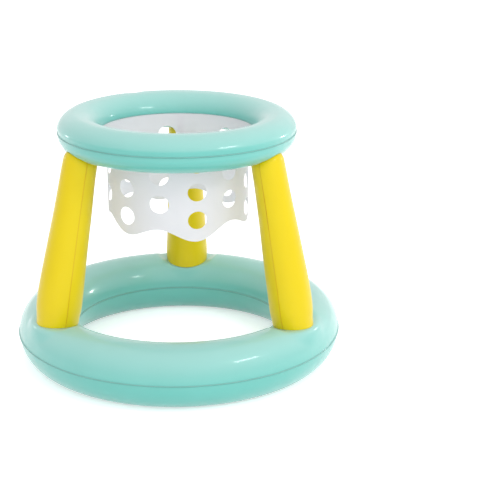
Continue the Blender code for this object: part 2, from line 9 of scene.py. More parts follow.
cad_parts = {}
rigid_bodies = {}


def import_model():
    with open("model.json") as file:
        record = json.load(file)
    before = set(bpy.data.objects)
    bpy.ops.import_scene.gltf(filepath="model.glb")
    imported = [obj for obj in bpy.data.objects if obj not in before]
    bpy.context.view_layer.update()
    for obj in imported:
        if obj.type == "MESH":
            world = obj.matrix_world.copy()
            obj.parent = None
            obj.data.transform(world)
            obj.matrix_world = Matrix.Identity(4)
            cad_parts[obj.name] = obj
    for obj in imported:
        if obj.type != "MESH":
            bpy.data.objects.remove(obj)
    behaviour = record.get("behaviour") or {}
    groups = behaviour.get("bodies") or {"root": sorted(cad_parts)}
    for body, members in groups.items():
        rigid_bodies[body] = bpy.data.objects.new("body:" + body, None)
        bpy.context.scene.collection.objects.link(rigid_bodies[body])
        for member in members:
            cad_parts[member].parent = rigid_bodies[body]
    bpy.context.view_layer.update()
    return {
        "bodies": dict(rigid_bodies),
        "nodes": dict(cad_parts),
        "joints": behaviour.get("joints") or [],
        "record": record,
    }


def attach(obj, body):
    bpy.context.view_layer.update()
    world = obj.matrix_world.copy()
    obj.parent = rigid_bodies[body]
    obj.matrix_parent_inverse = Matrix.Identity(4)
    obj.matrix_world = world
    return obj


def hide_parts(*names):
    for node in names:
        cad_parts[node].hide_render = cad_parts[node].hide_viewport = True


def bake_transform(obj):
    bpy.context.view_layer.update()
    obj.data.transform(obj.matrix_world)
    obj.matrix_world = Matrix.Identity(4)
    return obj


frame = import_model()


# Camera. It stands about two and a half metres in front of the hoop, a little to its right, and looks
# down at it by 18 degrees through a long lens. The picture is square, so nothing is shifted.
def placed(name, data):
    """A new object with this data, in the scene."""
    piece = bpy.data.objects.new(name, data)
    bpy.context.scene.collection.objects.link(piece)
    return piece


camera_lens = bpy.data.cameras.new("camera")
camera_lens.lens = 92.117
camera_lens.sensor_width = 36
camera = placed("camera", camera_lens)
camera.matrix_world = Matrix((
    (0.999925, -0.008094, 0.00922, 0.171937),
    (0.011273, 0.309556, -0.950814, -2.522066),
    (0.004842, 0.950847, 0.309624, 1.04436),
    (0, 0, 0, 1),
))
bpy.context.scene.camera = camera


# Studio. A white painted floor in a room that is bright behind the hoop and in a wide patch over the
# camera, and about half as bright elsewhere. A small lamp stands at the front right and two weak ones low
# at the rear. Seen directly, room and floor are white, and the floor keeps the hoop's shadow.
def linear(colour):
    """The linear red, green, blue and opacity of a hex colour."""
    parts = [int(colour[index:index + 2], 16) / 255 for index in (1, 3, 5)]
    return (*(part / 12.92 if part <= 0.04045 else ((part + 0.055) / 1.055) ** 2.4 for part in parts), 1)


def add_node(tree, kind, values=None, links=None, **settings):
    """One shader node with its settings, the values of its sockets and what feeds them."""
    node = tree.nodes.new("ShaderNode" + kind)
    for name, value in settings.items():
        setattr(node, name, value)
    for socket, value in (values or {}).items():
        node.inputs[socket].default_value = value
    for socket, source in (links or {}).items():
        tree.links.new(source, node.inputs[socket])
    return node


def seen_directly(tree):
    """1 for what the camera sees itself, in a glossy skin or through a clear one, and otherwise 0."""
    path = add_node(tree, "LightPath")
    nearer = add_node(tree, "Math", operation="MAXIMUM", links={
        0: path.outputs["Is Camera Ray"], 1: path.outputs["Is Glossy Ray"],
    })
    return add_node(tree, "Math", operation="MAXIMUM", links={
        0: nearer.outputs[0], 1: path.outputs["Is Transmission Ray"],
    }).outputs[0]


bpy.context.scene.view_settings.view_transform = "Standard"
room = bpy.data.worlds.new("white_room")
bpy.context.scene.world = room
room.use_nodes = True
room_tree = room.node_tree
room_tree.nodes.clear()
room_way = add_node(room_tree, "TexCoord")
room_sides = []
# Each bright side: the way to it, the cosines where it starts and is full, and its light there
for side_way, side_start, side_end, side_low, side_high in (
    ((0.2, 0.95, 0.2), -0.4, 0.6, 0.52, 1.0),
    ((0.2, -0.92, 0.33), 0.4, 0.97, 0.0, 1.15),
):
    facing = add_node(room_tree, "VectorMath", {1: side_way}, {0: room_way.outputs["Generated"]},
                      operation="DOT_PRODUCT")
    room_sides.append(add_node(
        room_tree, "MapRange",
        {"From Min": side_start, "From Max": side_end, "To Min": side_low, "To Max": side_high},
        {"Value": facing.outputs["Value"]}, interpolation_type="SMOOTHSTEP",
    ).outputs["Result"])
room_glow = add_node(room_tree, "Math", links={0: room_sides[0], 1: room_sides[1]}, operation="ADD")
room_seen = add_node(room_tree, "Mix", {"B": 1.0}, {
    "Factor": seen_directly(room_tree), "A": room_glow.outputs[0],
})
room_white = add_node(room_tree, "Background", {"Color": linear("#FFFFFF")}, {
    "Strength": room_seen.outputs["Result"],
})
add_node(room_tree, "OutputWorld", links={"Surface": room_white.outputs[0]})

floor_paint = bpy.data.materials.new("white_floor_paint")
floor_paint.use_nodes = True
floor_tree = floor_paint.node_tree
floor_tree.nodes.clear()
floor_matt = add_node(floor_tree, "BsdfDiffuse", {"Color": linear("#F4F4F4")})
floor_glow = add_node(floor_tree, "Emission", {"Color": linear("#FFFFFF"), "Strength": 0.5})
floor_bright = add_node(floor_tree, "AddShader", links={
    0: floor_matt.outputs[0], 1: floor_glow.outputs[0],
})
floor_mix = add_node(floor_tree, "MixShader", links={
    0: seen_directly(floor_tree), 1: floor_matt.outputs[0], 2: floor_bright.outputs[0],
})
add_node(floor_tree, "OutputMaterial", links={"Surface": floor_mix.outputs[0]})

floor_half = 6.0
floor_corners = [(x * floor_half, y * floor_half, 0) for x, y in ((-1, -1), (1, -1), (1, 1), (-1, 1))]
floor_mesh = bpy.data.meshes.new("floor")
floor_mesh.from_pydata(floor_corners, [], [(0, 1, 2, 3)])
floor_mesh.materials.append(floor_paint)
studio_floor = placed("studio_floor", floor_mesh)

# Each lamp: its bearing and height in degrees seen from the hoop, its distance, width, height and watts
lamp_aim = Vector((0, 0, 0.25))
for lamp_name, bearing, height, distance, wide, high, watts in (
    ("front_lamp", -36, 34, 2.9, 0.8, 0.16, 9),
    ("right_lamp", 28, 11, 2.6, 0.24, 0.24, 7),
    ("left_lamp", 152, 8, 2.6, 0.2, 0.2, 2.5),
):
    lamp_data = bpy.data.lights.new(lamp_name, "AREA")
    lamp_data.shape = "RECTANGLE"
    lamp_data.size = wide
    lamp_data.size_y = high
    lamp_data.energy = watts
    lamp = placed(lamp_name, lamp_data)
    turn = math.radians(bearing)
    climb = math.radians(height)
    lamp_way = Vector((math.cos(climb) * math.cos(turn), math.cos(climb) * math.sin(turn), math.sin(climb)))
    lamp.location = lamp_aim + lamp_way * distance
    lamp.rotation_euler = lamp_way.to_track_quat("Z", "Y").to_euler()


# Base ring. Two flat annuli of soft PVC sheet, welded together along an outer and an inner seam and
# blown up to a tube. The outer seam is shorter than the sheet it gathers, so it puckers, and the tube
# is drawn flat where a leg is welded on.
sheet_thick = 0.00035
seam_gap = 0.00003
flange_width = 0.002
flange_bend = 0.0007
flange_wave = 0.00022
tube_swell = 0.0004
weld_shade = 0.6
leg_bearings = {"rear": 90, "left": 210, "right": 330}
valve_sweep = math.radians(36)
base_tube = {
    "valve_bearing": 60, "radius": 0.2755, "half_width": 0.0575, "half_height": 0.0625, "seam_z": 0.06135,
    "columns": 720, "row": 0.0045, "net_gap": 0.0, "pucker": 0.0009, "bulge": 0.0, "rear_rise": 0.0,
}
rim_tube = {
    "valve_bearing": 120, "radius": 0.198, "half_width": 0.0405, "half_height": 0.038, "seam_z": 0.477,
    "columns": 600, "row": 0.0038, "net_gap": 0.0003, "pucker": 0.0006, "bulge": 0.0032, "rear_rise": 0.0022,
}


def soft_vinyl(name, colour, welded, grain, painted_sheen, haze, gloss):
    """Glossy calendered PVC sheet: an even colour, deeper along the welds, a painted pale sheen on the sides
    that face up, which stands in for the reflection of the bright room above, a thin haze, and a smooth skin
    with a faint grain left by the rollers. gloss is the skin's share of the full mirroring."""
    material = bpy.data.materials.new(name)
    material.use_nodes = True
    tree = material.node_tree
    shader = tree.nodes["Principled BSDF"]
    shader.inputs["IOR"].default_value = 1.5
    shader.inputs["Specular IOR Level"].default_value = 0.5 * gloss
    shader.inputs["Sheen Weight"].default_value = haze
    shader.inputs["Sheen Roughness"].default_value = 0.5
    shader.inputs["Coat Weight"].default_value = 0.7 * gloss
    shader.inputs["Coat Roughness"].default_value = 0.13
    place = add_node(tree, "TexCoord").outputs["Object"]
    # Patches of 60 mm, a little lighter and darker where the sheet is stretched more and less
    patches = add_node(tree, "TexNoise", {"Scale": 1 / 0.06}, {"Vector": place})
    tone = add_node(tree, "Mix", {"A": linear(colour[0]), "B": linear(colour[1])},
                    {"Factor": patches.outputs["Fac"]}, data_type="RGBA")
    seam = add_node(tree, "Attribute", attribute_name="weld")
    deeper = add_node(tree, "Mix", {"B": linear(welded)},
                      {"Factor": seam.outputs["Fac"], "A": tone.outputs["Result"]}, data_type="RGBA")
    # Painted sheen: the colour is mixed toward white as the surface faces up, standing in for the room's
    # light above
    lie = add_node(tree, "SeparateXYZ", links={0: add_node(tree, "NewGeometry").outputs["Normal"]})
    painted_sheen_share = add_node(tree, "MapRange", {"From Min": -0.25, "From Max": 0.95, "To Min": 0.0, "To Max": painted_sheen},
                      {"Value": lie.outputs["Z"]}, interpolation_type="SMOOTHSTEP")
    painted_sheen_colour = add_node(tree, "Mix", {"B": linear("#FAFCFB")},
                       {"Factor": painted_sheen_share.outputs["Result"], "A": deeper.outputs["Result"]}, data_type="RGBA")
    tree.links.new(painted_sheen_colour.outputs["Result"], shader.inputs["Base Color"])
    # Handling marks of 25 mm, where the gloss is a little duller
    marks = add_node(tree, "TexNoise", {"Scale": 1 / 0.025, "Detail": 3.0, "Roughness": 0.55},
                     {"Vector": place})
    duller = add_node(tree, "MapRange", {"From Min": 0.3, "From Max": 0.7, "To Min": 0.38, "To Max": 0.5},
                      {"Value": marks.outputs["Fac"]})
    tree.links.new(duller.outputs["Result"], shader.inputs["Roughness"])
    # Roller grain of 1 to 2 mm, so shallow that it shows only in a reflection's edge
    fine = add_node(tree, "TexNoise", {"Scale": 1 / grain}, {"Vector": place})
    bump = add_node(tree, "Bump", {"Strength": 0.25, "Distance": 0.000012}, {"Height": fine.outputs["Fac"]})
    tree.links.new(bump.outputs["Normal"], shader.inputs["Normal"])
    return material


# The teal sheet carries a painted pale sheen of up to 0.22 on its up-facing sides
teal_vinyl = soft_vinyl("teal_vinyl_sheet", ("#5EBBB1", "#64BFB6"), "#2F958C", 0.002, 0.22, 0.15, 1.0)


def unit(vectors):
    """These vectors at a length of 1."""
    return vectors / np.linalg.norm(vectors, axis=-1, keepdims=True)


def eased(share):
    """A share from 0 to 1 that starts and ends slowly."""
    return share * share * (3 - 2 * share)


def vinyl_sheet(name, points, material, closed, node, thickness=sheet_thick, body="hoop", weld=None):
    """A piece of sheet with its own thickness, from rows of points over its outer face, that rides on a
    body and stands for a CAD node. weld is the share of the deeper welded colour at each point."""
    rows, columns = points.shape[:2]
    if closed:
        along = np.roll(points, -1, axis=1) - np.roll(points, 1, axis=1)
    else:
        along = np.gradient(points, axis=1)
    normals = unit(np.cross(along, np.gradient(points, axis=0)))
    outer = points.reshape(-1, 3)
    inner = (points - normals * thickness).reshape(-1, 3)
    count = rows * columns
    corners = np.arange(count).reshape(rows, columns)
    if closed:
        corners = np.concatenate((corners, corners[:, :1]), axis=1)
    quads = np.stack((corners[:-1, :-1], corners[:-1, 1:], corners[1:, 1:], corners[1:, :-1]), axis=-1)
    quads = quads.reshape(-1, 4)
    faces = [quads, quads[:, ::-1] + count]
    edges = [corners[0, ::-1], corners[-1]]
    if not closed:
        edges += [corners[:, 0], corners[::-1, -1]]
    for edge in edges:
        faces.append(np.stack((edge[:-1], edge[1:], edge[1:] + count, edge[:-1] + count), axis=-1))
    mesh = bpy.data.meshes.new(name)
    mesh.from_pydata(np.concatenate((outer, inner)).tolist(), [], np.concatenate(faces).tolist())
    mesh.shade_smooth()
    mesh.set_sharp_from_angle(angle=math.radians(50))
    mesh.materials.append(material)
    if weld is not None:
        share = np.broadcast_to(weld, (rows, columns)).ravel()
        welded = mesh.attributes.new("weld", "FLOAT", "POINT")
        welded.data.foreach_set("value", np.concatenate((share, share)))
    piece = placed(name, mesh)
    if body:
        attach(piece, body)
    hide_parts(node)
    return piece


# A leg's seats: where its weld circle's middle lies on each ring, and the way that the weld faces. The
# feet sit on the tube's crown as shallow saddles, high along the tube and low across it. The heads sit
# under the rim's tube, outwards of its lowest line, and tilt up with its side.
foot_weld_radius = 0.0402
head_weld_radius = 0.0262
foot_height = 0.1124
head_reach = 0.208535
head_height = 0.4485
foot_saddle = 0.0016
head_saddle = 0.001
foot_bend = 0.0034
head_bend = 0.0007
head_sweep = math.radians(18)
head_tilt = math.radians(17)
foot_lean = 0.45
foot_spread = {"rear": 1.12, "left": 1.02, "right": 0.99}


def leg_frame(side):
    """A leg's foot and head, the ways along, out of and across it, and the ways that its seats face."""
    angle = math.radians(leg_bearings[side])
    out = np.array((math.cos(angle), math.sin(angle), 0))
    across = np.array((-math.sin(angle), math.cos(angle), 0))
    foot = out * base_tube["radius"] + np.array((0, 0, foot_height))
    head = out * head_reach + np.array((0, 0, head_height))
    along = unit(head - foot)
    face = np.cross(across, along)
    foot_seat = unit(np.array((0, 0, 1 - foot_lean)) + along * foot_lean)
    head_seat = np.array((0, 0, math.cos(head_tilt))) - out * math.sin(head_tilt)
    return {"foot": foot, "head": head, "along": along, "face": face, "across": across, "out": out,
            "foot_seat": foot_seat, "head_seat": head_seat, "angle": angle}


def seat_height(offset, leg, at_foot):
    """How far a seat's surface lies off the plane of its weld, at these offsets from its middle."""
    weld = foot_weld_radius if at_foot else head_weld_radius
    along_tube = (offset @ leg["across"] / weld) ** 2
    across_tube = (offset @ leg["out"] / weld) ** 2
    if at_foot:
        return foot_saddle * np.clip(along_tube - across_tube, -1.3, 1.3)
    return head_saddle * np.clip(across_tube - 3 * along_tube, -3.3, 1.3)


def off_weld(points, tube, lower, side):
    """How far these points lie from the middle of a leg's weld, round the ring and over its tube."""
    radius = np.hypot(points[..., 0], points[..., 1])
    bearing = np.arctan2(points[..., 1], points[..., 0])
    rise = np.abs(points[..., 2] - tube["seam_z"]) / tube["half_height"]
    over = (radius - tube["radius"]) / tube["half_width"]
    turn = (bearing - leg_frame(side)["angle"] + math.pi) % math.tau - math.pi
    middle = head_sweep if lower else 0
    around = (tube["radius"] + tube["half_width"] * math.sin(middle)) * turn
    return around, tube["half_width"] * (np.arctan2(over, rise) - middle)


def seat_pull(points, tube, lower):
    """How far up or down the legs' welds draw the tube's skin at each of these points."""
    shift = np.zeros(points.shape[:-1])
    weld = head_weld_radius if lower else foot_weld_radius
    for side in leg_bearings:
        leg = leg_frame(side)
        centre = leg["head"] - leg["out"] * head_bend if lower else leg["foot"]
        apart = np.hypot(*off_weld(points, tube, lower, side)) / weld
        seat = leg["head_seat"] if lower else leg["foot_seat"]
        gap = ((centre - points) @ seat + seat_height(points - centre, leg, not lower)) / seat[2]
        flat, fade = (1.1, 1.8) if lower else (1.03 * foot_spread[side], 1.75)
        shift += gap * eased(np.clip((fade - apart) / (fade - flat), 0, 1))
    return shift


def weld_folds(points, tube, lower, seed):
    """Shallow folds that run outwards from each leg's weld, where it gathers the tube's skin."""
    chance = np.random.default_rng(seed)
    folds = 26
    depth = np.zeros(points.shape[:-1])
    for side in leg_bearings:
        around, arc = off_weld(points, tube, lower, side)
        away = np.hypot(around, arc) - (head_weld_radius if lower else foot_weld_radius)
        way = np.arctan2(arc, around)
        for fold in range(folds):
            middle = math.tau * (fold + chance.uniform(-0.4, 0.4)) / folds
            deep = chance.uniform(0.03, 0.16) * 0.001
            reach = chance.uniform(0.012, 0.035)
            wide = chance.uniform(0.05, 0.09)
            turned = (way - middle + math.pi) % math.tau - math.pi
            fade = np.clip(1 - np.maximum(away, 0) / reach, 0, 1) ** 2
            start = np.clip(away / 0.002, 0, 1)
            depth -= deep * np.exp(-(turned / wide) ** 2) * fade * start
    return depth


def seam_puckers(seed, along, arc, length, deepest):
    """Narrow valleys that run up from a gathered seam, at these distances along it and away from it."""
    chance = np.random.default_rng(seed)
    depth = np.zeros((len(arc), len(along)))
    swell = [(chance.uniform(0, math.tau), turns) for turns in (2, 3, 5, 8)]
    place = 0.0
    while place < length:
        wave = sum(math.sin(phase + turns * math.tau * place / length) for phase, turns in swell)
        deep = deepest * max(0.55 + 0.22 * wave, 0.12) * chance.uniform(0.3, 1.0)
        reach = chance.uniform(0.008, 0.028)
        wide = chance.uniform(0.0017, 0.0030)
        lean = chance.uniform(-0.18, 0.18)
        apart = (along - place - lean * arc[:, None] + length / 2) % length - length / 2
        fade = np.clip(1 - arc / reach, 0, 1)[:, None] ** 1.6 * (1 - np.exp(-arc / 0.0009))[:, None]
        spread = wide * (1 + arc[:, None] / reach)
        depth -= deep * np.exp(-(apart / spread) ** 2) * fade
        depth += 0.38 * deep * np.exp(-(apart / (2.4 * spread)) ** 2) * fade
        place += chance.uniform(0.0045, 0.0105)
    return depth


def slow_swell(seed, bearing, arc, height):
    """A broad unevenness, since no blown-up tube is perfectly round."""
    chance = np.random.default_rng(seed)
    swell = np.zeros((len(arc), len(bearing)))
    for turns in (3, 5, 7, 11, 16, 23):
        waves = chance.uniform(0.5, 2.5)
        phase = chance.uniform(0, math.tau)
        tilt = chance.uniform(0, math.tau)
        up_tube = np.cos(waves * arc[:, None] / 0.06 + tilt)
        swell += np.sin(turns * bearing + phase) * up_tube / turns ** 0.6
    return swell * height / 2.2


def tube_point(tube, bearing, sweep, rise):
    """A point over a ring's tube: bearing round the ring, sweep up the tube's side and rise off its skin."""
    way = Vector((math.cos(sweep) / tube["half_width"], math.sin(sweep) / tube["half_height"])).normalized()
    radius = tube["radius"] + tube["half_width"] * math.cos(sweep) + way.x * rise
    height = tube["seam_z"] + tube["half_height"] * math.sin(sweep) + way.y * rise
    return Vector((radius * math.cos(bearing), radius * math.sin(bearing), height))


def swept(profile, bearing, side):
    """Rows of (radius, height) taken round the hoop to these bearings, upside down where side is -1."""
    return np.stack((profile[:, 0:1] * np.cos(bearing), profile[:, 0:1] * np.sin(bearing),
                     np.repeat(profile[:, 1:2] * side, len(bearing), axis=1)), axis=-1)


def ring_skin(name, tube, side, seed, legs_on):
    """One annulus of a ring: the outer seam's flange, over the tube and down to the inner seam's flange.
    side is 1 for the upper annulus and -1 for the lower one, and legs_on says that legs are welded to it."""
    radius, half_width, half_height = tube["radius"], tube["half_width"], tube["half_height"]
    on_floor = tube is base_tube and side < 0
    outline = []
    for sign, gap in ((1, seam_gap), (-1, seam_gap + tube["net_gap"])):
        top = gap + sheet_thick
        root = half_width * math.sqrt(1 - ((top + flange_bend) / half_height) ** 2)
        tip = half_width + flange_width
        flange = [(tip, top), (tip - 0.0005, top), (root + flange_bend, top)]
        flange += [(root + flange_bend * (1 - math.sin(step * math.pi / 8)),
                    top + flange_bend * (1 - math.cos(step * math.pi / 8))) for step in (1, 2, 3, 4)]
        start = math.asin((top + flange_bend) / half_height)
        end = math.asin(tube["seam_z"] / half_height) if on_floor else math.pi / 2
        # Rows of points, close together at the seam and wider apart on the way to the tube's crown
        angles = [start]
        size = (half_width + half_height) / 2
        pace = 0.0011 if sign > 0 else 0.0022
        while angles[-1] < end - 0.7 * tube["row"] / size:
            angles.append(angles[-1] + pace / size)
            pace = min(pace * 1.13, tube["row"])
        angles = [start + (angle - start) * (end - start) / (angles[-1] - start) for angle in angles[1:]]
        half = flange + [(half_width * math.cos(angle), half_height * math.sin(angle)) for angle in angles]
        half = [(radius + sign * x, z) for x, z in half]
        outline += half if sign > 0 else half[::-1][0 if on_floor else 1:]
    outline = np.array(outline)
    lengths = np.concatenate(((0,), np.cumsum(np.hypot(*np.diff(outline, axis=0).T))))
    flange_length = lengths[len(flange) - 1]
    arc = np.maximum(lengths - flange_length, 0)
    bearing = np.linspace(0, math.tau, tube["columns"], endpoint=False)
    shape = swept(outline, bearing, side) + np.array((0, 0, tube["seam_z"]))
    up_outline = np.gradient(outline, axis=0)
    out = swept(unit(np.stack((up_outline[:, 1], -up_outline[:, 0]), axis=-1)), bearing, side)
    seam_length = math.tau * (radius + half_width)
    depth = seam_puckers(seed, bearing * (radius + half_width), arc, seam_length, tube["pucker"])
    far = lengths[-1] - lengths
    calm = np.clip(np.minimum(lengths - flange_length, far - flange_length) / 0.03, 0, 1)
    if on_floor:
        calm = calm * np.clip((outline[:, 1].max() - outline[:, 1]) / 0.02, 0, 1)
    depth += slow_swell(seed + 1, bearing, arc, tube_swell) * eased(calm)[:, None]
    # The upper half of the tube bulges past its seam's root, and stands higher at the rear than in front
    sweep = np.arctan2(outline[:, 1] / half_height, (outline[:, 0] - radius) / half_width)
    flank = np.clip(sweep / 0.25, 0, 1) ** 2 * np.sqrt(np.clip(np.cos(sweep), 0, 1))
    depth += tube["bulge"] * (1 if side > 0 else 0.4) * flank[:, None]
    if side > 0:
        crown = np.sin(np.clip(sweep, 0, math.pi)) ** 2
        depth += tube["rear_rise"] * crown[:, None] * np.sin(bearing - 0.35)
        # It is smooth under the flange of the valve
        valve = np.array(tube_point(tube, math.radians(tube["valve_bearing"]), valve_sweep, 0))
        depth *= 1 - np.exp(-(np.linalg.norm(shape - valve, axis=-1) / 0.03) ** 6)
    if legs_on:
        depth += weld_folds(shape, tube, side < 0, seed + 2) * calm[:, None]
        pull = seat_pull(shape, tube, side < 0)
    shape = shape + out * depth[..., None]
    if legs_on:
        shape[..., 2] += pull
    # The two annuli of a ring share the slight wave of their outer flange
    chance = np.random.default_rng(17)
    wave = 0
    for turns in (9, 23, 41, 67, 113):
        wave = wave + np.sin(turns * bearing + chance.uniform(0, math.tau)) / turns ** 0.5
    near_seam = np.exp(-(arc / 0.006) ** 2) * (lengths < 0.05)
    shape[..., 2] += near_seam[:, None] * wave * flange_wave
    if on_floor:
        shape[..., 2] = np.maximum(shape[..., 2], 0)
    if side < 0:
        shape = shape[:, ::-1]
    weld = weld_shade * np.clip(1 - (np.minimum(lengths, far) - flange_length) / 0.0004, 0, 1)[:, None]
    return vinyl_sheet(name, shape, teal_vinyl, True, name.replace("_vinyl", "_skin"),
                       weld=weld)


base_upper = ring_skin("base_ring_upper_vinyl", base_tube, 1, 11, True)
ring_skin("base_ring_lower_vinyl", base_tube, -1, 23, False)


# Rim ring. Made as the base ring is, and smaller. Its lower annulus carries the legs' heads, and the
# net's top edge is caught between the two annuli in the inner seam.
rim_upper = ring_skin("rim_ring_upper_vinyl", rim_tube, 1, 37, False)
ring_skin("rim_ring_lower_vinyl", rim_tube, -1, 41, True)


# Legs. Each is a tapered tube of two panels of yellow PVC sheet. The inner panel's edges lap over the
# outer panel's and are welded down, which leaves a fine step with small puckers. Both ends are closed
# by a disc that is welded on a ring's skin, and the tube bulges out round it.
yellow_vinyl = soft_vinyl("yellow_vinyl_sheet", ("#E1C602", "#E4CC06"), "#D2A008", 0.002, 0.0, 0.1, 0.35)
lap_width = 0.005
weld_clearance = 0.0001
disc_clearance = 0.0003
keel_height = 0.0007
foot_turn = 0.0055
head_turn = 0.016
leg_swell = 0.00022
leg_girth = {"rear": 1.0, "left": 1.03, "right": 1.0}
# The leg's radius at distances from its foot
leg_profile = (
    (0, 0.0407), (0.012, 0.0413), (0.031, 0.0432), (0.054, 0.0436), (0.083, 0.0429), (0.141, 0.0402),
    (0.221, 0.0365), (0.285, 0.0340), (0.333, 0.0327),
)


def smooth_profile(distance):
    """The leg's radius at these distances from its foot, on a smooth curve through the profile."""
    places, sizes = np.array(leg_profile).T
    slopes = np.gradient(sizes, places)
    index = np.clip(np.searchsorted(places, distance) - 1, 0, len(places) - 2)
    span = places[index + 1] - places[index]
    t = np.clip((distance - places[index]) / span, 0, 1)
    return ((1 + 2 * t) * (1 - t) ** 2 * sizes[index] + t * (1 - t) ** 2 * span * slopes[index]
            + t * t * (3 - 2 * t) * sizes[index + 1] + t * t * (t - 1) * span * slopes[index + 1])


def landing(leg, wall, at_foot, clear):
    """How far along the leg's axis these points of its wall meet a seat, less the given clearance."""
    centre = leg["foot"] if at_foot else leg["head"] - leg["out"] * head_bend
    seat = leg["foot_seat"] if at_foot else leg["head_seat"]
    offset = wall if at_foot else wall + leg["out"] * head_bend
    start = leg["foot"] + wall - leg["out"] * (foot_bend if at_foot else head_bend) - centre
    return (clear + seat_height(offset, leg, at_foot) - start @ seat) / (leg["along"] @ seat)


def leg_panel(name, side, angles, insets, seed):
    """One panel, at these angles round the leg from its outward face and set in by this much."""
    leg = leg_frame(side)
    wall = leg["face"] * np.cos(angles)[:, None] + leg["across"] * np.sin(angles)[:, None]
    spread = foot_spread[side]
    low = landing(leg, wall * foot_weld_radius * spread, True, weld_clearance)
    high = landing(leg, wall * head_weld_radius, False, -weld_clearance)
    # Rows of points, close together at both ends, where the panel turns in to its weld
    steps = [0, 0.0002, 0.0005, 0.001, 0.0016, 0.0024, 0.0034, 0.0046, 0.006, 0.0076, 0.0094]
    steps += list(np.arange(0.0114, 0.35, 0.0022))
    tail = [0.0106, 0.0096, 0.0084, 0.007, 0.0056, 0.0042, 0.003, 0.002, 0.0012, 0.0006, 0.0002, 0]
    span = float(np.mean(high - low))
    shares = [step / span for step in steps if step < span - tail[0] - 0.001]
    shares = np.array(shares + [1 - step / span for step in tail])
    from_foot = shares[:, None] * (high - low)
    from_head = (1 - shares)[:, None] * (high - low)
    distance = low + from_foot
    full = smooth_profile(from_foot) * leg_girth[side]
    full *= 1 + (spread / leg_girth[side] - 1) * np.exp(-(from_foot / 0.035) ** 2)
    foot_round = np.sqrt(1 - np.clip(1 - from_foot / foot_turn, 0, 1) ** 2)
    head_round = np.sqrt(1 - np.clip(1 - from_head / head_turn, 0, 1) ** 2)
    radius = foot_weld_radius * spread + (full - foot_weld_radius * spread) * foot_round
    radius = head_weld_radius + (radius - head_weld_radius) * head_round
    # A slight keel along each weld, where the stiffer double sheet stands out of the round
    seam_angles = (-math.pi / 2, math.pi / 2, 3 * math.pi / 2)
    to_seam = np.min([np.abs(angles - seam_angle) for seam_angle in seam_angles], axis=0)
    off_seam = full * to_seam
    body = np.clip(np.minimum(from_foot / 0.012, from_head / 0.016), 0, 1)
    radius += keel_height * np.exp(-off_seam / 0.007) * body
    # Small puckers beside each weld
    chance = np.random.default_rng(seed)
    for seam_angle in seam_angles:
        beside = full * (angles - seam_angle)
        place = 0.006
        while place < span:
            deep = chance.uniform(0.04, 0.26) * 0.001
            wide = chance.uniform(0.0016, 0.0034)
            reach = chance.uniform(0.004, 0.010)
            lean = chance.uniform(-0.5, 0.5)
            along = (from_foot - place - lean * beside) / wide
            radius -= deep * np.exp(-along ** 2) * np.exp(-np.abs(beside) / reach) * body
            place += chance.uniform(0.006, 0.024)
    # The two ends are gathered round their smaller discs
    for middle in np.arange(0, math.tau, math.tau / 46):
        for apart, reach, deep in ((from_foot, 0.013, 0.22), (from_head, 0.015, 0.26)):
            turned = (angles - middle - chance.uniform(-0.05, 0.05) + math.pi) % math.tau - math.pi
            length = reach * chance.uniform(0.5, 1.3)
            fade = np.clip(1 - apart / length, 0, 1) ** 1.5 * np.clip(apart / 0.0012, 0, 1)
            pit = chance.uniform(0.1, 1.0) * deep * 0.001
            radius -= pit * np.exp(-(turned / 0.035) ** 2) * fade
    for turns, length in ((2, 0.04), (3, 0.03), (1, 0.025)):
        swell = np.sin(turns * angles + chance.uniform(0, math.tau))
        radius += leg_swell * swell * np.cos(from_foot / length + chance.uniform(0, 6)) * body
    radius = radius - insets
    shape = leg["foot"] + leg["along"] * distance[..., None] + wall * radius[..., None]
    shape = shape - leg["out"] * (foot_bend * np.exp(-(from_foot / 0.045) ** 2))[..., None]
    shape = shape - leg["out"] * (head_bend * np.exp(-(from_head / 0.03) ** 2))[..., None]
    weld = weld_shade * np.clip(1.5 - off_seam / 0.0008, 0, 1)
    vinyl_sheet(name, shape, yellow_vinyl, False, name.replace("_vinyl", "_panel"),
                weld=weld)


def leg_disc(name, side, at_foot):
    """The disc that closes an end: flat on its seat, just inside the wall's weld, the upper one vented."""
    leg = leg_frame(side)
    weld = (foot_weld_radius * foot_spread[side] if at_foot else head_weld_radius) - 0.0006
    clear = disc_clearance if at_foot else -disc_clearance
    sides = np.linspace(0, math.tau, 96, endpoint=False)
    inner = 0.002 if at_foot else 0.005
    rings = []
    for radius in (weld, weld - 0.002, weld - 0.006, (weld + inner) / 2, inner):
        wall = (leg["face"] * np.cos(sides)[:, None] + leg["across"] * np.sin(sides)[:, None]) * radius
        ring = leg["foot"] + wall + leg["along"] * landing(leg, wall, at_foot, clear)[:, None]
        rings.append(ring - leg["out"] * (foot_bend if at_foot else head_bend))
    shape = np.array(rings)
    if at_foot:
        # The lower disc is whole
        middle = shape[-1].mean(axis=0)
        shape = np.concatenate((shape, (middle + (shape[-1] - middle) * 0.02)[None]))[:, ::-1]
    vinyl_sheet(name, shape, yellow_vinyl, True, name.replace("_vinyl", "_disc"))


# The panels' angles: close together beside the welds, with the outer panel's edges set in under the lap
lap = lap_width / max(size for _, size in leg_profile)
beside = np.concatenate((np.linspace(0, 0.16, 14), np.linspace(0.185, math.pi / 2, 24)))
half_turn = np.concatenate((beside - math.pi / 2, (math.pi / 2 - beside)[::-1][1:]))
under = np.linspace(-lap, -0.012, 5)
outer_angles = np.concatenate((under - math.pi / 2, half_turn, (math.pi / 2 - under)[::-1]))
past = np.abs(outer_angles) - math.pi / 2
outer_insets = (sheet_thick + 0.00005) * np.clip(1 + (past - 0.008) / 0.03, 0, 1)
for side, seed in (("rear", 51), ("left", 67), ("right", 83)):
    leg_panel(side + "_leg_outer_vinyl", side, outer_angles, outer_insets, seed)
    leg_panel(side + "_leg_inner_vinyl", side, half_turn + math.pi, np.zeros(len(half_turn)), seed + 3)
    leg_disc(side + "_leg_foot_vinyl", side, True)
    leg_disc(side + "_leg_head_vinyl", side, False)


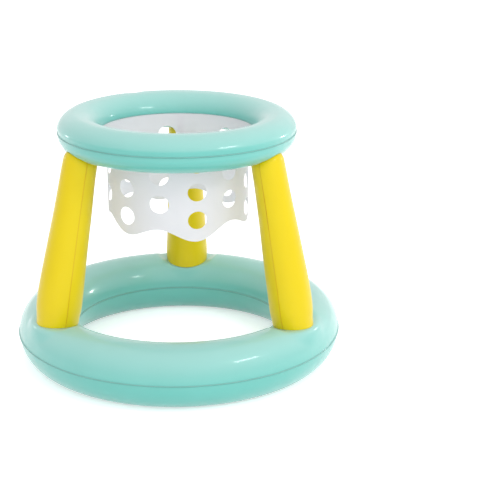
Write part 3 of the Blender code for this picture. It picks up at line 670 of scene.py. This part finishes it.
# Net. One strip of frosted PVC sheet with punched oval holes and a wavy hem, rolled to a cylinder and
# closed by a lap weld at the rear. Its top edge turns outwards and is caught in the rim's inner seam.
net_thick = 0.0003
net_radius = 0.143
net_lap_bearing = math.radians(93.9)
net_lap = 0.0125
net_top = rim_tube["seam_z"]
net_flare = 0.040
net_tip = rim_tube["radius"] - rim_tube["half_width"] - flange_width
net_sway = 0.0003
hem_middle = 0.295
hem_wave = 0.012
hem_side_rise = 0.014
hem_rear_rise = 0.009
net_columns = 12
column_width = math.tau / net_columns
long_holes = 3
short_holes = 2
hole_half_width = 0.0192
hole_half_height = 0.0178
hole_pitch = 0.056
lowest_hole = 0.327
short_column_rise = 0.0045
lap_hole_shift = math.radians(6.2)
lap_hole_drop = 0.004
across_steps = 14
cell_steps = 10

frosted_vinyl = bpy.data.materials.new("frosted_vinyl_sheet")
frosted_vinyl.use_nodes = True
net_tree = frosted_vinyl.node_tree
net_shader = net_tree.nodes["Principled BSDF"]
net_shader.inputs["IOR"].default_value = 1.5
net_place = add_node(net_tree, "TexCoord").outputs["Object"]
# Clouds of 30 mm in the frosting, as it lets more and less of the light through
net_cloud = add_node(net_tree, "TexNoise", {"Scale": 1 / 0.03, "Detail": 3.0, "Roughness": 0.55},
                     {"Vector": net_place})
net_tone = add_node(net_tree, "Mix", {"A": linear("#EDECF0"), "B": linear("#F1F0F3")},
                    {"Factor": net_cloud.outputs["Fac"]}, data_type="RGBA")
net_tree.links.new(net_tone.outputs["Result"], net_shader.inputs["Base Color"])
# Etched grain of 0.8 mm, which makes the surface silky rather than glossy
net_grain = add_node(net_tree, "TexNoise", {"Scale": 1 / 0.0008, "Detail": 2.0, "Roughness": 0.6},
                     {"Vector": net_place})
net_silk = add_node(net_tree, "MapRange",
                    {"From Min": 0.3, "From Max": 0.7, "To Min": 0.5, "To Max": 0.62},
                    {"Value": net_grain.outputs["Fac"]})
net_tree.links.new(net_silk.outputs["Result"], net_shader.inputs["Roughness"])
net_bump = add_node(net_tree, "Bump", {"Strength": 0.2, "Distance": 0.00003},
                    {"Height": net_grain.outputs["Fac"]})
net_tree.links.new(net_bump.outputs["Normal"], net_shader.inputs["Normal"])
# A share of the light comes through from behind
net_through = add_node(net_tree, "BsdfTranslucent", {"Color": linear("#F4F4F6")})
net_mix = add_node(net_tree, "MixShader", {0: 0.42}, {
    1: net_shader.outputs[0], 2: net_through.outputs[0],
})
net_tree.links.new(net_mix.outputs[0], net_tree.nodes["Material Output"].inputs["Surface"])


def hem_height(bearing):
    """The wavy lower edge, a little higher at the two sides and the rear of the hoop than at its front."""
    past_lap = bearing - net_lap_bearing
    wave = np.cos(net_columns / 2 * (past_lap - column_width / 2))
    side = np.sin(past_lap) ** 2
    rear = np.clip(np.cos(past_lap), 0, 1) ** 2
    return hem_middle - hem_wave * wave + hem_side_rise * side + hem_rear_rise * rear


def net_under(bearing):
    """How far the sheet's first end is set in to pass under its last end."""
    share = np.clip(1 - (bearing - net_lap_bearing) / math.radians(4), 0, 1)
    return (net_thick + 0.00006) * eased(share)


def net_surface(bearing, height):
    """Points of the net's outer face at these bearings and heights, flared out to the seam at the top."""
    rise = np.clip((height - net_top) / net_flare + 1, 0, None)
    radius = net_radius + (net_tip - 0.001 - net_radius) * rise * rise
    loose = np.clip((net_top - 0.02 - height) / 0.16, 0, 1)
    for share, turns, phase in ((0.7, 3, 0.6), (0.5, 5, 2.1), (0.35, 8, 4.0), (0.25, 13, 1.0)):
        radius = radius + net_sway * loose * share * np.sin(turns * bearing + phase)
    radius = radius - net_under(bearing)
    return np.stack((radius * np.cos(bearing), radius * np.sin(bearing), height), axis=-1)


net_points = []
net_faces = []


def net_quads(start, rows, columns):
    """Faces between rows of net points, the first of which has this number."""
    for row in range(rows - 1):
        for column in range(columns - 1):
            corner = start + row * columns + column
            net_faces.append((corner, corner + 1, corner + columns + 1, corner + columns))


def net_grid(across, heights):
    """A patch of whole sheet from rows of heights at these bearings."""
    bearings = np.repeat(across[None], len(heights), axis=0)
    net_quads(len(net_points), *heights.shape)
    net_points.extend(net_surface(bearings, heights).reshape(-1, 3).tolist())


def net_hole_cell(middle, low, high, level, shift):
    """The sheet round one punched hole, from the hole's edge out to the borders of its cell, low and high.
    The hole lies off its cell's middle by this shift of its bearing."""
    across = middle + column_width * (np.arange(across_steps + 1) / across_steps - 0.5)
    bottom = low(across) if callable(low) else np.full(len(across), low)
    rise = np.linspace(0, 1, cell_steps + 1)
    border = list(zip(across[:-1], bottom[:-1]))
    border += [(across[-1], bottom[-1] + (high - bottom[-1]) * share) for share in rise[:-1]]
    border += [(bearing, high) for bearing in across[:0:-1]]
    border += [(across[0], high + (bottom[0] - high) * share) for share in rise[:-1]]
    border = np.array(border)
    middle = middle - shift
    swing = np.arctan2(border[:, 1] - level, (border[:, 0] - middle) * net_radius)
    hole = np.stack((middle + hole_half_width * np.cos(swing) / net_radius,
                     level + hole_half_height * np.sin(swing)), axis=-1)
    shares = np.array((0, 0.08, 0.25, 0.5, 0.75, 1))[:, None, None]
    rings = hole * (1 - shares) + border * shares
    start = len(net_points)
    count = len(border)
    net_points.extend(net_surface(rings[..., 0], rings[..., 1]).reshape(-1, 3).tolist())
    for row in range(len(shares) - 1):
        for index in range(count):
            after = (index + 1) % count
            near = start + row * count
            net_faces.append((near + after, near + index, near + count + index, near + count + after))


top_rows = np.array((0, 0.2, 0.4, 0.55, 0.7, 0.8, 0.88, 0.94, 1))
for column in range(net_columns):
    first = net_lap_bearing + column * column_width
    across = first + column_width * np.arange(across_steps + 1) / across_steps
    if column % 2 == 0:
        levels = [lowest_hole + hole_pitch * index for index in range(long_holes)]
        borders = [hem_height] + [level + hole_pitch / 2 for level in levels]
    else:
        borders = [lowest_hole + short_column_rise + hole_pitch * index for index in range(short_holes + 1)]
        levels = [border + hole_pitch / 2 for border in borders[:-1]]
        hem = hem_height(across)
        net_grid(across, hem + (borders[0] - hem) * np.linspace(0, 1, 6)[:, None])
    # The holes beside the lap are punched close to it
    shift, drop = (lap_hole_shift, lap_hole_drop) if column == 0 else (0, 0)
    for index, level in enumerate(levels):
        net_hole_cell(first + column_width / 2, borders[index], borders[index + 1], level - drop, shift)
    rows = borders[-1] + (net_top - 0.0012 - borders[-1]) * top_rows
    net_grid(across, np.repeat(rows[:, None], len(across), axis=1))
    # The lip: out over the flange of the rim's lower annulus and into the seam
    lip = np.array(((net_tip - 0.0009, net_top - 0.0006), (net_tip - 0.0003, net_top - net_thick),
                    (net_tip + 0.0016, net_top - net_thick)))
    net_quads(len(net_points) - len(across), len(lip) + 1, len(across))
    net_points.extend(swept(lip, across, 1).reshape(-1, 3).tolist())

# The under lap: the first end, continued behind the last one
lap_span = net_lap_bearing - net_lap / net_radius * np.linspace(1, 0, 6)
hem = hem_height(lap_span)
net_grid(lap_span, hem + (net_top - 0.0016 - hem) * np.linspace(0, 1, 30)[:, None])

net_mesh = bpy.data.meshes.new("net_vinyl")
net_mesh.from_pydata(net_points, [], net_faces)
net_work = bmesh.new()
net_work.from_mesh(net_mesh)
bmesh.ops.remove_doubles(net_work, verts=net_work.verts, dist=0.00002)
net_work.to_mesh(net_mesh)
net_work.free()
net_mesh.shade_smooth()
net_mesh.materials.append(frosted_vinyl)
net = placed("net_vinyl", net_mesh)


def settle(piece):
    """Replaces a piece's mesh by the shape that its modifiers give it."""
    bpy.context.view_layer.update()
    shaped = bpy.data.meshes.new_from_object(piece.evaluated_get(bpy.context.evaluated_depsgraph_get()))
    piece.modifiers.clear()
    piece.data = shaped


net_body = net.modifiers.new("thickness", "SOLIDIFY")
net_body.thickness = net_thick
net_body.offset = -1
settle(net)
net.data.set_sharp_from_angle(angle=math.radians(50))
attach(net, "hoop")
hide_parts("net_sheet")


# Valves. Each is moulded of milky soft PVC: a thin flange welded over a round hole in the ring's skin, a
# stem that hangs in a thin folding cup, a flap at the stem's inner end and a plug cap on a short strap.
milky_vinyl = soft_vinyl("milky_vinyl_moulding", ("#DCE7E7", "#E6EEEE"), "#C6D4D4", 0.001, 0.0, 0.1, 1.0)
milky_vinyl.node_tree.nodes["Principled BSDF"].inputs["Subsurface Weight"].default_value = 0.4
milky_vinyl.node_tree.nodes["Principled BSDF"].inputs["Subsurface Scale"].default_value = 0.002
valve_sides = 72
hole_radius = 0.0129
flange_radius = 0.018
flange_rise = 0.0003
flange_thick = 0.0008
cup_radius = 0.0118
cup_depth = 0.0075
cup_thick = 0.0004
stem_radius = 0.0046
stem_bore = 0.0031
stem_top = 0.0002
stem_length = 0.0142
collar_radius = 0.0052
collar_height = 0.0012
cap_radius = 0.0058
cap_thick = 0.0015
cap_seat = 0.0005
plug_length = 0.0038
plug_radius = 0.0028
plug_tip_radius = 0.0021
strap_width = 0.004
strap_thick = 0.0008
strap_gap = 0.0003
strap_end = 0.0085 - strap_gap
tab_reach = 0.0078
flap_radius = 0.0039
flap_thick = 0.0005
strap_bevel = 0.00012
valve_circle = [(math.cos(math.tau * step / valve_sides), math.sin(math.tau * step / valve_sides))
                for step in range(valve_sides)]


def valve_frame(tube):
    """A valve's place: x runs round the ring, y up the tube's side and z out of the skin."""
    bearing = math.radians(tube["valve_bearing"])
    centre = tube_point(tube, bearing, valve_sweep, 0)
    out = (tube_point(tube, bearing, valve_sweep, 0.01) - centre).normalized()
    around = Vector((-math.sin(bearing), math.cos(bearing), 0))
    return Matrix.Translation(centre) @ Matrix((around, out.cross(around), out)).transposed().to_4x4()


def rounded(outline, reach, closed):
    """An outline with its corners cut to small rounds."""
    points = [Vector(point) for point in outline]
    smooth = []
    for index, corner in enumerate(points):
        if not closed and index in (0, len(points) - 1):
            smooth.append(corner)
            continue
        before = points[index - 1] - corner
        after = points[(index + 1) % len(points)] - corner
        first = corner + before.normalized() * min(reach, before.length * 0.45)
        last = corner + after.normalized() * min(reach, after.length * 0.45)
        for share in (0, 0.25, 0.5, 0.75, 1):
            smooth.append(first.lerp(corner, share).lerp(corner.lerp(last, share), share))
    return smooth


def moulded(name, work, frame):
    """A soft moulded piece in a valve's frame, from a mesh drawn at the origin."""
    bmesh.ops.recalc_face_normals(work, faces=work.faces)
    work.transform(frame)
    mesh = bpy.data.meshes.new(name)
    work.to_mesh(mesh)
    work.free()
    mesh.shade_smooth()
    mesh.set_sharp_from_angle(angle=math.radians(40))
    mesh.materials.append(milky_vinyl)
    return placed(name, mesh)


def bridge(work, rows, closed):
    """Faces from each row of corners to the next one, and from the last row to the first where closed."""
    for near, far in zip(rows, rows[1:] + rows[:1] if closed else rows[1:]):
        for index in range(len(near)):
            after = (index + 1) % len(near)
            corners = dict.fromkeys((near[index], near[after], far[after], far[index]))
            work.faces.new(list(corners))


def turned(name, outline, frame, closed):
    """A round piece from (radius, height) points. A closed outline makes a ring, an open one ends on the
    axis."""
    work = bmesh.new()
    rows = []
    for radius, height in outline:
        if radius < 1e-6:
            rows.append([work.verts.new((0, 0, height))] * valve_sides)
        else:
            rows.append([work.verts.new((radius * x, radius * y, height)) for x, y in valve_circle])
    bridge(work, rows, closed)
    return moulded(name, work, frame)


def strap(name, start, low, high, frame):
    """A flat strap from its start to its bend, with its long edges a little rounded."""
    work = bmesh.new()
    outline = [(start, low), (strap_end, low), (strap_end, high), (start, high)]
    middle = sum((Vector(point) for point in outline), Vector((0, 0))) / len(outline)
    half = strap_width / 2
    rows = []
    for y, length, thickness in ((-half, 0.99, 0.94), (strap_bevel - half, 1, 1),
                                 (half - strap_bevel, 1, 1), (half, 0.99, 0.94)):
        rows.append([work.verts.new((middle.x + (x - middle.x) * length, y,
                                     middle.y + (z - middle.y) * thickness)) for x, z in outline])
    bridge(work, rows, False)
    work.faces.new(rows[0])
    work.faces.new(rows[-1][::-1])
    return moulded(name, work, frame)


def shape_by(piece, other, operation):
    """Cuts another piece out of this one or moulds the two together, and takes the other one away."""
    change = piece.modifiers.new("shaping", "BOOLEAN")
    change.operation = operation
    change.solver = "EXACT"
    change.object = other
    settle(piece)
    bpy.data.objects.remove(other)


def valve_row(tube, frame, radius, height, follow):
    """A circle of points round a valve's middle, bent to the ring's skin as far as follow says."""
    half_width, half_height = tube["half_width"], tube["half_height"]
    reach = tube["radius"] + half_width * math.cos(valve_sweep)
    climb = math.hypot(half_width * math.sin(valve_sweep), half_height * math.cos(valve_sweep))
    bearing = math.radians(tube["valve_bearing"])
    row = []
    for x, y in valve_circle:
        bent = tube_point(tube, bearing + radius * x / reach, valve_sweep + radius * y / climb, height)
        row.append((frame @ Vector((radius * x, radius * y, height))).lerp(bent, follow))
    return row


for ring, tube, skin in (("base", base_tube, base_upper), ("rim", rim_tube, rim_upper)):
    frame_here = valve_frame(tube)
    name = ring + "_valve"
    body = ring + "_stem"

    # The hole in the skin, a little inside the flange
    punch = turned(name + "_punch", [(0, -0.004), (hole_radius, -0.004), (hole_radius, 0.004), (0, 0.004)],
                   frame_here, False)
    shape_by(skin, punch, "DIFFERENCE")

    # The flange, with a slim raised bead where the cup is welded in
    rise = flange_rise + flange_thick
    work = bmesh.new()
    rows = []
    for radius, height in rounded([
        (hole_radius - 0.0004, flange_rise), (hole_radius - 0.0004, rise + 0.0002),
        (hole_radius + 0.0006, rise + 0.0002), (hole_radius + 0.0009, rise),
        (flange_radius - 0.0004, rise - 0.0001), (flange_radius, flange_rise + 0.00015),
        (flange_radius, flange_rise),
    ], 0.00025, True):
        rows.append([work.verts.new(point) for point in valve_row(tube, frame_here, radius, height, 1)])
    bridge(work, rows, True)
    flange = moulded(name + "_flange_vinyl", work, Matrix())
    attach(flange, "hoop")
    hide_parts(name + "_flange")

    # The cup is a thin sheet that folds down from the flange to the stem; it keeps one fixed shape and rides
    # on no body
    rows = []
    for radius, height, follow in (
        (hole_radius - 0.0007, rise - 0.0001, 1), (cup_radius + 0.0001, rise - 0.00025, 1),
        (cup_radius, 0.0002, 0.9), (cup_radius - 0.00015, -0.0012, 0.5),
        (cup_radius - 0.0002, -0.0028, 0.1), (cup_radius - 0.0003, -0.0044, 0),
        (cup_radius - 0.0006, -0.006, 0), (cup_radius - 0.0013, -0.0071, 0),
        (cup_radius - 0.0024, -cup_depth, 0), (0.0076, -cup_depth - 0.00005, 0),
        (stem_radius + 0.0017, -cup_depth + 0.0001, 0), (stem_radius + 0.001, -cup_depth + 0.0006, 0),
        (stem_radius + 0.00075, -cup_depth + 0.0013, 0), (stem_radius + 0.0007, -cup_depth + 0.002, 0),
    ):
        rows.append(valve_row(tube, frame_here, radius, height, follow))
    cup = vinyl_sheet(name + "_cup_vinyl", np.array(rows), milky_vinyl, True, name + "_membrane",
                      thickness=cup_thick, body=None)
    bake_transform(cup)

    # The stem, with a collar at its mouth and the fixed half of the cap's strap
    bottom = stem_top - stem_length
    stem = turned(name + "_stem_vinyl", rounded([
        (stem_bore, bottom), (stem_radius - 0.0002, bottom), (stem_radius, stem_top - collar_height),
        (collar_radius, stem_top - collar_height), (collar_radius, stem_top), (stem_bore, stem_top),
    ], 0.0003, True), frame_here, True)
    half_strap = strap(name + "_strap_stub", stem_radius - 0.0004, stem_top - strap_thick,
                       stem_top - strap_gap / 2, frame_here)
    shape_by(stem, half_strap, "UNION")
    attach(stem, body)
    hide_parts(name + "_stem")

    # The cap: a tapered plug under a slightly domed disc, with its half of the strap and a finger tab
    top = cap_seat + cap_thick
    cap = turned(name + "_cap_vinyl", rounded([
        (0, cap_seat - plug_length), (plug_tip_radius, cap_seat - plug_length), (plug_radius, cap_seat),
        (cap_radius, cap_seat), (cap_radius, top - 0.0001), (cap_radius - 0.0012, top - 0.0001),
        (cap_radius - 0.0018, top - 0.0004), (0, top - 0.0003),
    ], 0.00035, False), frame_here, False)
    tab = strap(name + "_cap_tab", -tab_reach, cap_seat + strap_gap / 2, cap_seat + strap_thick,
                frame_here)
    shape_by(cap, tab, "UNION")
    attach(cap, ring + "_cap")
    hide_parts(name + "_cap")

    # The one-way flap at the stem's inner end
    flap_top = bottom - strap_gap
    flap = turned(name + "_flap_vinyl", rounded([
        (0, flap_top - flap_thick), (flap_radius, flap_top - flap_thick), (flap_radius, flap_top),
        (0, flap_top),
    ], 0.00015, False), frame_here, False)
    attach(flap, ring + "_flap")
    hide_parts(name + "_flap")


bpy.context.view_layer.update()
